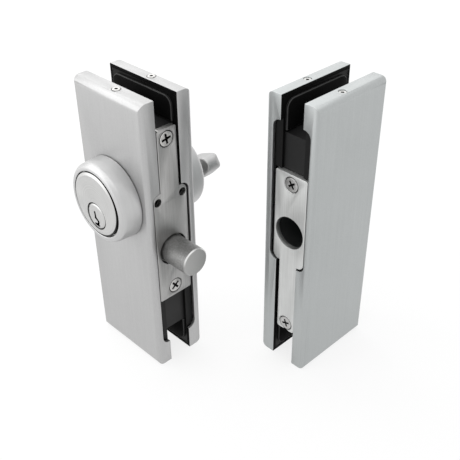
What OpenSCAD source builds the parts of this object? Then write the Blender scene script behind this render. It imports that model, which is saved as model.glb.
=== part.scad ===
// Patch lock and strike box for a frameless glass door.
// The lock stands with its round bolt toward +X and its key cylinder toward -Y.
// The strike box stands beside it with its bolt hole toward -Y.
// Each housing is two covers over two clamp plates, which grip the glass between them.

/* [Housing] */
// Height of each housing
height = 165; // [160:1:170]
// Width of each housing, from the bolt edge to the opposite edge
width = 52.6; // [50:0.2:55]
// Slot between the inner edges of the two covers
slot = 14.3; // [13.9:0.1:15]
// Depth of one cover, from its inner edge to its face
cover_depth = 9.15; // [8.8:0.05:10]
// Thickness of a cover's face
cover_face = 2.1; // [1.8:0.1:2.4]
// Thickness of a cover's edge walls
cover_wall = 2; // [1.6:0.1:2.4]
// Rounding of a cover's top and bottom edges
cover_round = 4.2; // [3:0.1:5]
// Rounding of a cover's upright edges
edge_round = 1.9; // [1:0.1:2.4]
// Depth of the cut for the edge plate in a cover's wall
cut_depth = 4.9; // [4.5:0.1:5.2]
// Radius of that cut's deep corners
cut_round = 4.5; // [3:0.1:4.5]
// Height of the lock's cut, from its lower end
lock_cut_lo = 14.4; // [12:0.2:18]
// Upper end of the lock's cut
lock_cut_hi = 114; // [113.4:0.2:116]
// How far the strike's cut reaches below its hole
strike_cut_down = 20.8; // [19:0.2:22.6]
// How far the strike's cut reaches above its hole
strike_cut_up = 62.8; // [60:0.2:65]

/* [Glass] */
// Thickness of the glass that the pads grip
glass = 12; // [10:0.5:12.5]
// Inset of the pads from the housing's outline
pad_inset = 3.6; // [3:0.2:5]
// Corner radius of the pads
pad_round = 5; // [3:0.5:6]

/* [Edge plates] */
// How far the edge plates lie behind the covers' edge
plate_recess = 0.8; // [0.4:0.1:1.2]
// Thickness of the edge plates
plate_t = 3; // [2.5:0.1:3.2]
// Width of the lock plate beside the bolt
lock_plate_w = 22.2; // [21.6:0.1:22.8]
// Width of the strike plate beside the hole
strike_plate_w = 21; // [20:0.1:22.2]
// Width of the lock plate between the covers
lock_plate_narrow = 12.4; // [11.6:0.1:13]
// Width of the strike plate between the covers
strike_plate_narrow = 12; // [10.6:0.1:12.6]
// How far the strike plate sits toward the back cover
strike_plate_shift = 0.6; // [0:0.1:0.7]

/* [Bolt] */
// Height of the bolt's axis
bolt_z = 76.2; // [75:0.2:78]
// Diameter of the bolt
bolt_d = 16.2; // [15.6:0.1:16.4]
// How far the bolt stands out when it is thrown
bolt_out = 17; // [15:0.5:18]
// Diameter of the bolt hole in the lock plate
bolt_hole_d = 18.4; // [17.8:0.1:18.8]
// Diameter of the bolt hole in the strike plate
strike_hole_d = 18.8; // [18:0.1:19.2]

/* [Cylinder] */
// Height of the cylinder's axis
cyl_z = 105.6; // [105:0.2:106.4]
// Diameter of the cylinder's body
cyl_d = 29.2; // [28.6:0.1:29.4]
// Diameter of the cylinder's head
head_d = 35.6; // [34.6:0.1:36]
// Diameter of the collar where it meets the cover
collar_d = 45.6; // [44:0.2:47]
// Diameter of the collar near its front
collar_front_d = 43.8; // [43.6:0.1:44]
// Height of the collar
collar_h = 12.3; // [11.5:0.1:13]
// Distance of the key plug below the cylinder's axis
plug_drop = 6.7; // [6.5:0.1:6.8]
// Diameter of the plug's face
plug_face_d = 15; // [14.4:0.1:15]

/* [Thumb turn] */
// Angle of the grip above level at rest
grip_angle = 34; // [20:1:60]
// Length of the grip
grip_l = 31; // [28:0.5:34]
// How far the grip stands out from its base
grip_out = 18; // [16.6:0.2:20]
// Depth of the grip, from its outer face to its underside
grip_deep = 10.4; // [9:0.2:11]
// Thickness of the grip at its middle
grip_t = 10.8; // [10.4:0.1:12]

/* [Row] */
// Strike's edge, measured along X from the lock's bolt edge
strike_x = 45; // [43:0.1:60]
// Strike's edge, measured along Y from the middle of the lock's slot
strike_y = 39.8; // [38:0.1:60]

/* [Hidden] */
$fn = 64;

// Clearances
run_gap = 0.05;      // a shaft that turns or slides in its hole
loose_gap = 0.3;     // a moving piece in a roomy cavity
case_gap = 0.1;      // the case in the clamp plates' windows
screw_gap = 0.15;    // a screw in a clearance hole
thread_gap = 0.03;   // a screw or pin in the hole that holds it
cam_gap = 0.45;      // the cam's tip in the bolt tail's notch, each side
seat_gap = 0.15;     // a clamp plate behind the cover's inner edge
grip_gap = 0.2;      // a clamp plate inside the cover's walls
window_gap = 0.4;    // the edge plate in the clamp plates
pad_gap = 0.8;       // the pads round the case
face_proud = 0.1;    // the plug's face before the cylinder's head
ring_gap = 0.5;      // the cylinder's head in its collar
face_gap = 0.3;      // the plug's face in the cylinder's head

// Housing
half = slot/2;
outer = half + cover_depth;
cover_in = outer - cover_face;
plate_in = half + seat_gap;
pad_face = glass/2;
mid_x = -width/2;
plate_back = -plate_recess - plate_t;
grip_front = -cover_wall - grip_gap;
grip_back = -width + cover_wall + grip_gap;

// Cylinder and its plug
cyl_r = cyl_d/2;
plug_z = cyl_z - plug_drop;
plug_r = 6.35;
head_t = 2.8;
head_soft = 0.8;
head_proud = 0.6;
head_y = outer + collar_h + head_proud;
face_y = -head_y - face_proud;
shell_in = 4.6;
plug_in = 4.4;
cam_t = 2.5;
plug_face_t = 1.6;
face_bevel_h = 0.45;
face_bevel_w = 1.1;
pin_r = 1.45;
pin_pitch = 3.8;
key_pin_l = 4.45;
pin_first = 5.2;
pin_y = [for (i = [0:4]) -head_y + pin_first + pin_pitch*i];
key_pin_z = plug_z + plug_r - 0.3 - key_pin_l;
pin_bore = 19.2;
key_pin_point = 0.9;
driver_l = 4.6;
spring_r = 1.3;
spring_t = 0.4;
cam_hub_r = 6;
cam_screw_r = 1.1;
cam_screw_out = 3.4;
cam_screw_l = 7;
cam_head_r = 2;
cam_head_t = 0.8;

// Bolt, its tail and the two cams that drive it
bolt_r = bolt_d/2;
throw = bolt_out + 0.5;
cam_r = 18;
cam_tip = 2.5;
cam_arm = 1.7;
cam_swing = asin(throw/2/cam_r);
notch_x = mid_x + throw/2;
tail_web = 1.65;
tail_heel = 3.4;
tail_front = notch_x + cam_tip + cam_gap + tail_web;
tail_rear = notch_x - cam_tip - cam_gap - tail_heel;
tail_half = 6;
tail_down = 7;
tail_up = 8;
tail_lo = bolt_z - tail_down;
tail_hi = bolt_z + tail_up;
tail_screw_z = bolt_z - tail_down/2;
tail_screw_r = 1.6;
tail_screw_l = 8;
tail_head_r = 2.8;
tail_head_t = 2.8;
bolt_bevel = 0.7;
shank_r = bolt_r + 0.3;
shank_end = plate_back + plate_t/2;
notch_floor = plug_z - cam_r - cam_tip - cam_gap;

// Cases: the strike is the lock's housing turned over, so its hole meets the bolt
strike_hole_z = height - bolt_z;
strike_cut_lo = strike_hole_z - strike_cut_down;
strike_cut_hi = strike_hole_z + strike_cut_up;
case_wall = 2.1;
case_back = mid_x - cyl_r - case_wall;
case_half = 11;
case_end = 20.8;
lock_lo = case_end;
lock_hi = height - 17.4;
strike_lo = 22.6;
strike_hi = height - case_end;
cup_r = strike_hole_d/2 + 0.5;
cup_wall = 0.8;
cup_depth = 21;
wide_lo = bolt_z - bolt_r - 3.1;
wide_hi = cyl_z + cyl_r + 1.1;
strike_wide = cup_r + cup_wall + 1.9;

// Edge plates and their screws
shoulder_gap = 0.8;
lock_plate_down = 31.2;
strike_plate_up = 35.2;
shoulder_round = 4;
plate_lap = 0.6;
lock_plate_lo = bolt_z - lock_plate_down;
lock_shoulder = lock_cut_hi - shoulder_gap;
lock_plate_hi = lock_hi + plate_lap;
strike_plate_lo = strike_lo - plate_lap;
strike_shoulder = strike_cut_lo + shoulder_gap;
strike_plate_hi = strike_hole_z + strike_plate_up;
plate_screw_end = 6;
strike_screw_end = 4.5;
lock_screw_z = [lock_plate_lo + plate_screw_end, lock_plate_hi - plate_screw_end];
strike_screw_z = [strike_plate_lo + strike_screw_end, strike_plate_hi - plate_screw_end];
plate_screw_r = 2.2;
plate_screw_l = 9.7;
csk_r = 4.7;
csk_depth = 2.5;
head_sink = 0.3;
head_gap = 0.45;
cross_l = 5.4;
cross_w = 1.1;
cross_depth = 1.7;
set_z = cyl_z + 3;
set_y = 8.3;
set_r = 2;
set_in = 1.6;
set_hex_r = 1.15;
set_hex_depth = 1.4;

// Screws that hold the covers and clamp the plates
grub_x = mid_x + 3;
grub_y = half + 3.8;
grub_r = 2.15;
grub_l = 7;
grub_hex_r = 1.25;
grub_hex_depth = 2;
clamp_x = [-14.5, case_back + 8.5];
lock_clamp_z = [lock_lo + 11.2, (cyl_z + cyl_r + lock_hi)/2];
strike_clamp_z = [strike_lo + 12.4, strike_hi - 10.2];
clamp_r = 2.5;
clamp_head_r = 4.2;
clamp_head_t = 4.4;
clamp_hex_r = 2.3;
clamp_hex_depth = 2.4;
nut_r = 4.5;
nut_t = 4;

// Thumb turn: its base, the post that carries the grip, its neck and the cross pin
base_r = 8.4;
base_t = 1.2;
turn_face = face_y - base_t;
post_r = 2.6;
post_l = 5.5;
neck_r = 5;
foot_r = 6.4;
foot_h = 1.6;
turn_pin_y = turn_face - foot_h - 1.6;
turn_pin_r = 1;
turn_pin_in = 0.6;
grip_side_r = 62;
grip_tip_r = 4;
grip_edge_r = 2.6;
// The radius of the grip's ends makes them tangent to its curved sides
grip_end_r = (grip_side_r*grip_t - grip_t*grip_t/4 - grip_l*grip_l/4)/(2*grip_side_r - grip_l);
grip_end_x = grip_l/2 - grip_end_r;

// Places the model with its origin under the middle of its outline
origin_x = -(-width + strike_x + outer)/2;
origin_y = -(face_y + strike_y + width)/2;
module at_lock() { translate([origin_x, origin_y, 0]) children(); }
module at_strike() {
    translate([origin_x + strike_x, origin_y + strike_y, 0])
        rotate([0, 0, -90]) children();
}

// Extrusions of an outline in Y and Z along X, and of one in X and Z along Y
module along_x(x0, x1) {
    translate([x0, 0, 0]) rotate([90, 0, 90]) linear_extrude(x1 - x0) children();
}
module along_y(y0, y1) {
    translate([0, y1, 0]) rotate([90, 0, 0]) linear_extrude(y1 - y0) children();
}
module rod_x(y, z, r, x0, x1) {
    translate([x0, y, z]) rotate([0, 90, 0]) cylinder(r = r, h = x1 - x0);
}
module rod_y(x, z, r, y0, y1) {
    translate([x, y1, z]) rotate([90, 0, 0]) cylinder(r = r, h = y1 - y0);
}
module box(x0, x1, y0, y1, z0, z1) {
    translate([x0, y0, z0]) cube([x1 - x0, y1 - y0, z1 - z0]);
}
module round_rect(x0, x1, y0, y1, r) {
    translate([x0 + r, y0]) square([x1 - x0 - 2*r, y1 - y0]);
    translate([x0, y0 + r]) square([x1 - x0, y1 - y0 - 2*r]);
    for (x = [x0 + r, x1 - r], y = [y0 + r, y1 - r]) translate([x, y]) circle(r);
}
module front_half() { children(); }
module back_half() { mirror([0, 1, 0]) children(); }

// Covers: a shallow tray with soft top and bottom edges, open toward the glass
module cover_side() {
    translate([-outer + cover_round, 0]) square([cover_depth - cover_round, height]);
    translate([-outer, cover_round]) square([cover_depth, height - 2*cover_round]);
    for (z = [cover_round, height - cover_round])
        translate([-outer + cover_round, z]) circle(cover_round);
}
module cover_plan() {
    translate([-width, -outer + edge_round]) square([width, cover_depth - edge_round]);
    translate([-width + edge_round, -outer]) square([width - 2*edge_round, cover_depth]);
    for (x = [-width + edge_round, -edge_round])
        translate([x, -outer + edge_round]) circle(edge_round);
}
module cover_cut(lo, hi) {
    deep = -half - cut_depth;
    translate([deep + cut_round, lo]) square([cut_depth - cut_round + 1, hi - lo]);
    translate([deep, lo + cut_round]) square([cut_depth + 1, hi - lo - 2*cut_round]);
    for (z = [lo + cut_round, hi - cut_round])
        translate([deep + cut_round, z]) circle(cut_round);
}
module cover(lo, hi) {
    difference() {
        intersection() {
            along_x(-width, 0) cover_side();
            linear_extrude(height) cover_plan();
        }
        box(-width + cover_wall, -cover_wall, -cover_in, 0, cover_wall, height - cover_wall);
        along_x(-cover_wall - 0.5, 1) cover_cut(lo, hi);
        for (z = [-1, height - cover_wall - 1])
            translate([grub_x, -grub_y, z]) cylinder(r = grub_r + thread_gap, h = cover_wall + 2);
    }
}
module cylinder_hole() { rod_y(mid_x, cyl_z, cyl_r + 0.4, -outer - 1, 0); }

// Grub screws in the top and bottom edges, which hold the covers on the clamp plates
module grub(out) {
    translate([grub_x, -grub_y, height + out - grub_l]) difference() {
        union() {
            cylinder(r = grub_r, h = grub_l - 0.3);
            translate([0, 0, grub_l - 0.3]) cylinder(r1 = grub_r, r2 = grub_r - 0.3, h = 0.3);
        }
        translate([0, 0, grub_l - grub_hex_depth]) cylinder(r = grub_hex_r, h = grub_l, $fn = 6);
    }
}
module grubs(out) {
    for (side = [0, 1]) mirror([0, side, 0]) {
        grub(out);
        translate([0, 0, height]) mirror([0, 0, 1]) grub(-0.4);
    }
}

// Clamp plates, with a window for the wide middle of the case
module clamp_plate(win_lo, win_hi, plate_lo, plate_hi, zs) {
    difference() {
        box(grip_back, grip_front, -cover_in, -plate_in,
            cover_wall + grip_gap, height - cover_wall - grip_gap);
        box(case_back - case_gap, 1, -outer, 0, win_lo - case_gap, win_hi + case_gap);
        box(plate_back - case_gap, 1, -case_half - window_gap, 0,
            plate_lo - window_gap, plate_hi + window_gap);
        for (x = clamp_x, z = zs) {
            rod_y(x, z, clamp_r + screw_gap, -outer, 0);
            rod_y(x, z, clamp_head_r + grip_gap, -outer, -cover_in + clamp_head_t + grip_gap);
        }
        for (z = [-1, height - grub_l - 3])
            translate([grub_x, -grub_y, z]) cylinder(r = grub_r + thread_gap, h = grub_l + 4);
    }
}
module nut_pockets(zs) {
    for (x = clamp_x, z = zs)
        translate([x, -cover_in + nut_t, z]) rotate([90, 0, 0])
            cylinder(r = nut_r + 0.1, h = 2*nut_t, $fn = 6);
}

// Pads: a collar-shaped sheet on each clamp plate that bears on the glass
module pad(lo, hi) {
    along_y(-plate_in, -pad_face) difference() {
        round_rect(grip_back + pad_gap, -pad_inset, pad_inset, height - pad_inset, pad_round);
        translate([case_back - pad_gap, lo - pad_gap]) square([width, hi - lo + 2*pad_gap]);
    }
}

// Clamp screws run through both plates and the case to nuts in the back plate
module clamp_screw(x, z) {
    y0 = -cover_in + grip_gap;
    difference() {
        union() {
            rod_y(x, z, clamp_head_r, y0, y0 + clamp_head_t);
            rod_y(x, z, clamp_r, y0, cover_in - 3*grip_gap);
        }
        translate([x, y0 + clamp_hex_depth, z]) rotate([90, 0, 0])
            cylinder(r = clamp_hex_r, h = 4, $fn = 6);
    }
}
module clamp_nut(x, z) {
    difference() {
        translate([x, cover_in - grip_gap, z]) rotate([90, 0, 0])
            cylinder(r = nut_r, h = nut_t - grip_gap, $fn = 6);
        rod_y(x, z, clamp_r + thread_gap, 0, outer);
    }
}

// Edge plates
module countersink(z) {
    translate([-plate_recess, 0, z]) rotate([0, -90, 0]) {
        translate([0, 0, -0.01]) cylinder(r = csk_r, h = 0.31);
        translate([0, 0, 0.3]) cylinder(r1 = csk_r, r2 = plate_screw_r, h = csk_depth - 0.3);
        cylinder(r = plate_screw_r + screw_gap, h = plate_t + 1);
    }
}
module plate_screw(z) {
    translate([-plate_recess, 0, z]) rotate([0, -90, 0]) difference() {
        union() {
            translate([0, 0, head_sink])
                cylinder(r1 = csk_r - head_gap, r2 = plate_screw_r, h = csk_depth - 0.3);
            translate([0, 0, csk_depth - 1])
                cylinder(r = plate_screw_r, h = plate_screw_l - csk_depth + 1);
        }
        translate([0, 0, head_sink - 0.01]) for (a = [20, 110])
            rotate([0, 0, a]) translate([-cross_l/2, -cross_w/2, 0])
                cube([cross_l, cross_w, cross_depth]);
        translate([0, 0, head_sink - 0.01])
            cylinder(r1 = 1.5*cross_w, r2 = cross_w/2, h = cross_depth + 0.5);
    }
}
module plate_outline(wide, narrow, lo, shoulder, hi) {
    round_rect(-wide/2, wide/2, lo, shoulder, 1);
    round_rect(-narrow/2, narrow/2, shoulder - shoulder_round, hi, 1.4);
}
// Corner at the shoulder, rounded like the covers' cut
module shoulder_corner(side, up) {
    r = shoulder_round;
    difference() {
        square(2*r, center = true);
        translate([-side*r, -up*r]) circle(r);
        translate([-side*2*r, -up*r]) square(2*r, center = true);
        translate([-side*r, -up*2*r]) square(2*r, center = true);
    }
}

// Case: a narrow block in the slot with a wide middle behind the edge plate
module case_block(lo, hi, w_lo, w_hi, screws, clamps, shift = 0) {
    difference() {
        union() {
            box(case_back, plate_back, -plate_in, plate_in, lo, hi);
            box(case_back, plate_back, -case_half, case_half, w_lo, w_hi);
        }
        for (z = screws)
            rod_x(shift, z, plate_screw_r + thread_gap, -plate_recess - plate_screw_l - loose_gap, 1);
        for (x = clamp_x, z = clamps) rod_y(x, z, clamp_r + screw_gap, -outer, outer);
    }
}

// Collar: a tapered ring with a large soft front edge and a recess for the cylinder's head
module collar() {
    r0 = collar_d/2;
    r1 = collar_front_d/2;
    f = r1 - head_d/2 - ring_gap;
    translate([mid_x, -outer, cyl_z]) rotate([90, 0, 0]) difference() {
        rotate_extrude($fn = 96) {
            polygon([[cyl_r + 0.1, 0], [r0, 0], [r1, collar_h - f], [cyl_r + 0.1, collar_h - f]]);
            translate([cyl_r + 0.1, collar_h - f - 0.5]) square([r1 - f - cyl_r - 0.1, f + 0.5]);
            translate([r1 - f, collar_h - f]) intersection() {
                circle(f);
                translate([0, -0.5]) square(f + 1);
            }
        }
        translate([0, 0, collar_h + head_proud - head_t]) cylinder(r = head_d/2 + ring_gap, h = head_t);
    }
}

// Body of a cylinder: a head disc and a round body, bored off centre for its plug or spindle
module cylinder_body() {
    r = head_d/2;
    translate([mid_x, -head_y, cyl_z]) rotate([-90, 0, 0]) {
        rotate_extrude($fn = 96) {
            translate([0, head_soft]) square([r, head_t - head_soft]);
            square([r - head_soft, head_t]);
            translate([r - head_soft, head_soft]) circle(head_soft);
        }
        cylinder(r = cyl_r, h = head_y - shell_in);
    }
}
module cam_outline() {
    translate([mid_x, plug_z]) rotate(cam_swing) {
        circle(cam_hub_r);
        translate([-cam_arm, -cam_r]) square([2*cam_arm, cam_r]);
        translate([0, -cam_r]) circle(cam_tip);
    }
}
module cam_screw_holes(r, y0, y1) {
    for (side = [-1, 1])
        translate([mid_x, 0, plug_z]) rotate([0, -cam_swing, 0]) rod_y(side*cam_screw_out, 0, r, y0, y1);
}
module cam() {
    difference() {
        along_y(-plug_in, -plug_in + cam_t) cam_outline();
        cam_screw_holes(cam_screw_r + thread_gap, -outer, 0);
    }
}
module cam_screw_pair() {
    y1 = -plug_in + cam_t;
    cam_screw_holes(cam_screw_r, y1 - cam_screw_l, y1);
    cam_screw_holes(cam_head_r, y1, y1 + cam_head_t);
}
module keyway() {
    polygon([[-1.9, 2.6], [-1.5, -0.6], [-1.7, -1.9], [-0.9, -2.1], [0.7, -3.1], [0.8, -3.6],
             [-0.2, -4.5], [-1.5, -4.9], [-1.7, -5.7], [0.9, -5.8], [1.7, -4.9], [2.3, -3.1],
             [1.9, -2.2], [0.3, -1.2], [0, -0.6], [-0.6, 2.6]]);
}

// Lock: covers, clamp plates and pads
module front_cover() {
    color("Silver") at_lock() difference() { cover(lock_cut_lo, lock_cut_hi); cylinder_hole(); }
}
module back_cover() {
    color("Silver") at_lock() back_half() difference() {
        cover(lock_cut_lo, lock_cut_hi);
        cylinder_hole();
    }
}
module cover_screws() { color("LightSteelBlue") at_lock() grubs(0.3); }
module lock_clamp_plate() {
    clamp_plate(wide_lo, wide_hi, lock_plate_lo, lock_shoulder, lock_clamp_z);
}
module front_clamp_plate() { color("DimGray") at_lock() lock_clamp_plate(); }
module back_clamp_plate() {
    color("DimGray") at_lock() back_half() difference() {
        lock_clamp_plate();
        nut_pockets(lock_clamp_z);
    }
}
module front_pad() { color("Black") at_lock() pad(lock_lo, lock_hi); }
module back_pad() { color("Black") at_lock() back_half() pad(lock_lo, lock_hi); }
module clamp_screws() {
    color("SlateGray") at_lock() for (x = clamp_x, z = lock_clamp_z) clamp_screw(x, z);
}
module clamp_nuts() {
    color("SlateGray") at_lock() for (x = clamp_x, z = lock_clamp_z) clamp_nut(x, z);
}

// Lock: case and edge plate
module lock_case() {
    color("DarkSlateGray") at_lock() difference() {
        case_block(lock_lo, lock_hi, wide_lo, wide_hi, lock_screw_z, lock_clamp_z);
        rod_y(mid_x, cyl_z, cyl_r + run_gap, -outer, outer);
        rod_x(0, bolt_z, shank_r + run_gap, tail_front - throw - 0.5, 1);
        box(tail_rear - throw - 0.5, tail_front, -tail_half - loose_gap, tail_half + loose_gap,
            tail_lo - loose_gap, tail_hi + loose_gap);
        box(notch_x - throw - cam_tip - 0.8, notch_x + cam_tip + 0.8, -shell_in, shell_in,
            notch_floor, plug_z - 1.3);
        for (y = [-set_y, set_y]) rod_x(y, set_z, set_r + thread_gap, mid_x, 1);
    }
}
module lock_plate() {
    color("Gray") at_lock() difference() {
        along_x(plate_back, -plate_recess) difference() {
            plate_outline(lock_plate_w, lock_plate_narrow, lock_plate_lo, lock_shoulder, lock_plate_hi);
            for (side = [-1, 1])
                translate([side*lock_plate_w/2, lock_shoulder]) shoulder_corner(side, 1);
        }
        for (z = lock_screw_z) countersink(z);
        rod_x(0, bolt_z, bolt_hole_d/2, -10, 1);
        for (y = [-set_y, set_y]) rod_x(y, set_z, set_r + 0.3, -10, 1);
    }
}
module lock_plate_screws() { color("Silver") at_lock() for (z = lock_screw_z) plate_screw(z); }
module set_screws() {
    color("SlateGray") at_lock() for (y = [-set_y, set_y]) difference() {
        rod_x(y, set_z, set_r, mid_x + cyl_r, plate_back + set_in);
        translate([plate_back + set_in - set_hex_depth, y, set_z]) rotate([0, 90, 0])
            cylinder(r = set_hex_r, h = 3, $fn = 6);
    }
}

// Lock: the bolt and the tail that the cams drive
module bolt() {
    color("Gray") at_lock() difference() {
        union() {
            rod_x(0, bolt_z, shank_r, tail_front, shank_end);
            rod_x(0, bolt_z, bolt_r, shank_end - 1, bolt_out - bolt_bevel);
            translate([bolt_out - bolt_bevel, 0, bolt_z]) rotate([0, 90, 0])
                cylinder(r1 = bolt_r, r2 = bolt_r - bolt_bevel, h = bolt_bevel);
        }
        rod_x(0, tail_screw_z, tail_screw_r + thread_gap, tail_front - 1, tail_front + tail_screw_l);
    }
}
module bolt_tail() {
    color("Peru") at_lock() difference() {
        box(tail_rear, tail_front, -tail_half, tail_half, tail_lo, tail_hi);
        box(notch_x - cam_tip - cam_gap, notch_x + cam_tip + cam_gap, -2*tail_half, 2*tail_half,
            notch_floor, tail_hi + 1);
        rod_x(0, tail_screw_z, tail_screw_r + screw_gap, tail_rear - 1, tail_front + 1);
        rod_x(0, tail_screw_z, tail_head_r + 0.2, tail_rear - 1, tail_rear + tail_head_t + 0.2);
    }
}
module tail_screw() {
    color("SlateGray") at_lock() difference() {
        union() {
            rod_x(0, tail_screw_z, tail_screw_r, tail_rear + 1, tail_front + tail_screw_l);
            rod_x(0, tail_screw_z, tail_head_r, tail_rear + 0.2, tail_rear + tail_head_t + 0.2);
        }
        translate([tail_rear - 1, 0, tail_screw_z]) rotate([0, 90, 0])
            cylinder(r = tail_head_r/2, h = tail_head_t, $fn = 6);
    }
}

// Lock: the key cylinder
module cylinder_collar() { color("Gainsboro") at_lock() collar(); }
module cylinder_shell() {
    color("LightGray") at_lock() difference() {
        cylinder_body();
        rod_y(mid_x, plug_z, plug_r + run_gap, -head_y - 1, 0);
        rod_y(mid_x, plug_z, plug_face_d/2 + face_gap, -head_y - 1, -head_y + plug_face_t);
        for (y = pin_y) translate([mid_x, y, plug_z]) cylinder(r = pin_r + run_gap, h = pin_bore);
    }
}
module driver_pins() {
    color("Goldenrod") at_lock() for (y = pin_y)
        translate([mid_x, y, plug_z + plug_r + 0.1]) cylinder(r = pin_r, h = driver_l);
}
module pin_springs() {
    color("Silver") at_lock() for (y = pin_y)
        translate([mid_x, y, plug_z + plug_r + 0.1 + driver_l]) difference() {
            cylinder(r = spring_r, h = pin_bore - plug_r - 0.1 - driver_l);
            translate([0, 0, -1]) cylinder(r = spring_r - spring_t, h = pin_bore);
        }
}
module cylinder_plug() {
    color("WhiteSmoke") at_lock() difference() {
        union() {
            rod_y(mid_x, plug_z, plug_r, -head_y + 0.5, -plug_in);
            rod_y(mid_x, plug_z, plug_face_d/2, face_y + face_bevel_h, -head_y + plug_face_t - 0.1);
            translate([mid_x, face_y + face_bevel_h, plug_z]) rotate([90, 0, 0])
                cylinder(r1 = plug_face_d/2, r2 = plug_face_d/2 - face_bevel_w, h = face_bevel_h);
        }
        translate([mid_x, 0, plug_z]) along_y(-head_y - 1, -plug_in - cam_screw_l + 3.4) keyway();
        for (y = pin_y) translate([mid_x, y, key_pin_z - 0.4]) cylinder(r = pin_r + run_gap, h = plug_r);
        cam_screw_holes(cam_screw_r + thread_gap, cam_t - plug_in - cam_screw_l - 0.1, 0);
    }
}
module key_pins() {
    color("Goldenrod") at_lock() for (y = pin_y) translate([mid_x, y, key_pin_z]) {
        cylinder(r1 = 0.5, r2 = pin_r, h = key_pin_point);
        translate([0, 0, key_pin_point]) cylinder(r = pin_r, h = key_pin_l - key_pin_point);
    }
}
module cylinder_cam() { color("Tan") at_lock() cam(); }
module cam_screws() { color("SlateGray") at_lock() cam_screw_pair(); }

// Lock: the thumb turn on the other side
module turn_collar() { color("Gainsboro") at_lock() back_half() collar(); }
module turn_housing() {
    color("LightGray") at_lock() back_half() difference() {
        cylinder_body();
        rod_y(mid_x, plug_z, plug_r + run_gap, -head_y - 1, 0);
    }
}
module turn_spindle() {
    color("Silver") at_lock() back_half() difference() {
        union() {
            rod_y(mid_x, plug_z, plug_r, face_y, -plug_in);
            rod_y(mid_x, plug_z, base_r, turn_face, face_y);
            rod_y(mid_x, plug_z, post_r, turn_face - post_l, face_y);
        }
        cam_screw_holes(cam_screw_r + thread_gap, cam_t - plug_in - cam_screw_l - 0.1, 0);
        at_grip() turn_pin_hole();
    }
}
module turn_pin_hole() {
    translate([0, turn_pin_y, -foot_r]) cylinder(r = turn_pin_r + thread_gap, h = 2*foot_r);
}
module at_grip() { translate([mid_x, 0, plug_z]) rotate([0, -grip_angle, 0]) children(); }
// Section of the grip: two long arcs that run into round ends
module grip_section() {
    intersection() {
        for_side(1) circle(grip_side_r);
        for_side(-1) circle(grip_side_r);
        square([2*grip_side_r*grip_end_x/(grip_side_r - grip_end_r), 2*grip_t], center = true);
    }
    for (side = [-1, 1]) translate([side*grip_end_x, 0]) circle(grip_end_r);
}
module for_side(side) { translate([0, side*(grip_side_r - grip_t/2)]) children(); }
// The thumb turn: a boat-shaped grip on a round neck
module thumb_turn() {
    y0 = turn_face - grip_out;
    y1 = y0 + grip_deep;
    color("Gainsboro") at_lock() back_half() at_grip() difference() {
        union() {
            intersection() {
                along_y(y0, y1) grip_section();
                translate([0, 0, -grip_t]) linear_extrude(2*grip_t)
                    round_rect(-grip_l/2, grip_l/2, y0, y1 + 2*grip_tip_r, grip_tip_r);
                along_x(-grip_l, grip_l)
                    round_rect(y0, y1 + 2*grip_edge_r, -grip_t/2, grip_t/2, grip_edge_r);
            }
            rod_y(0, 0, neck_r, y1 - 1, turn_face);
            translate([0, turn_face, 0]) rotate([90, 0, 0]) cylinder(r1 = foot_r, r2 = neck_r, h = foot_h);
        }
        rod_y(0, 0, post_r + thread_gap, turn_face - post_l, 0);
        turn_pin_hole();
    }
}
module turn_pin() {
    color("SlateGray") at_lock() back_half() at_grip()
        translate([0, turn_pin_y, -neck_r + turn_pin_in])
            cylinder(r = turn_pin_r, h = 2*(neck_r - turn_pin_in));
}
module turn_cam() { color("Tan") at_lock() back_half() cam(); }
module turn_cam_screws() { color("SlateGray") at_lock() back_half() cam_screw_pair(); }

// Strike box: the same housing with a hole for the bolt
module strike_cover_body() { cover(strike_cut_lo, strike_cut_hi); }
module strike_front_cover() { color("Silver") at_strike() strike_cover_body(); }
module strike_back_cover() { color("Silver") at_strike() back_half() strike_cover_body(); }
module strike_cover_screws() { color("LightSteelBlue") at_strike() grubs(-0.5); }
module strike_clamp_body() {
    clamp_plate(strike_hole_z - strike_wide, strike_hole_z + strike_wide,
        strike_shoulder, strike_plate_hi, strike_clamp_z);
}
module strike_front_clamp_plate() { color("DimGray") at_strike() strike_clamp_body(); }
module strike_back_clamp_plate() {
    color("DimGray") at_strike() back_half() difference() {
        strike_clamp_body();
        nut_pockets(strike_clamp_z);
    }
}
module strike_front_pad() { color("Black") at_strike() pad(strike_lo, strike_hi); }
module strike_back_pad() { color("Black") at_strike() back_half() pad(strike_lo, strike_hi); }
module strike_clamp_screws() {
    color("SlateGray") at_strike() for (x = clamp_x, z = strike_clamp_z) clamp_screw(x, z);
}
module strike_clamp_nuts() {
    color("SlateGray") at_strike() for (x = clamp_x, z = strike_clamp_z) clamp_nut(x, z);
}
module strike_case() {
    color("DarkSlateGray") at_strike() difference() {
        case_block(strike_lo, strike_hi, strike_hole_z - strike_wide, strike_hole_z + strike_wide,
            strike_screw_z, strike_clamp_z, strike_plate_shift);
        rod_x(0, strike_hole_z, cup_r + cup_wall, plate_back - cup_depth, 1);
    }
}
module bolt_cup() {
    color("Black") at_strike() difference() {
        rod_x(0, strike_hole_z, cup_r + cup_wall, plate_back - cup_depth, plate_back);
        rod_x(0, strike_hole_z, cup_r, plate_back - cup_depth + cup_wall, 1);
    }
}
module strike_plate() {
    color("Silver") at_strike() translate([0, strike_plate_shift, 0]) difference() {
        along_x(plate_back, -plate_recess) difference() {
            translate([0, height]) mirror([0, 1, 0]) plate_outline(strike_plate_w, strike_plate_narrow,
                height - strike_plate_hi, height - strike_shoulder, height - strike_plate_lo);
            for (side = [-1, 1])
                translate([side*strike_plate_w/2, strike_shoulder]) shoulder_corner(side, -1);
        }
        for (z = strike_screw_z) countersink(z);
        rod_x(0, strike_hole_z, strike_hole_d/2, -10, 1);
    }
}
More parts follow.
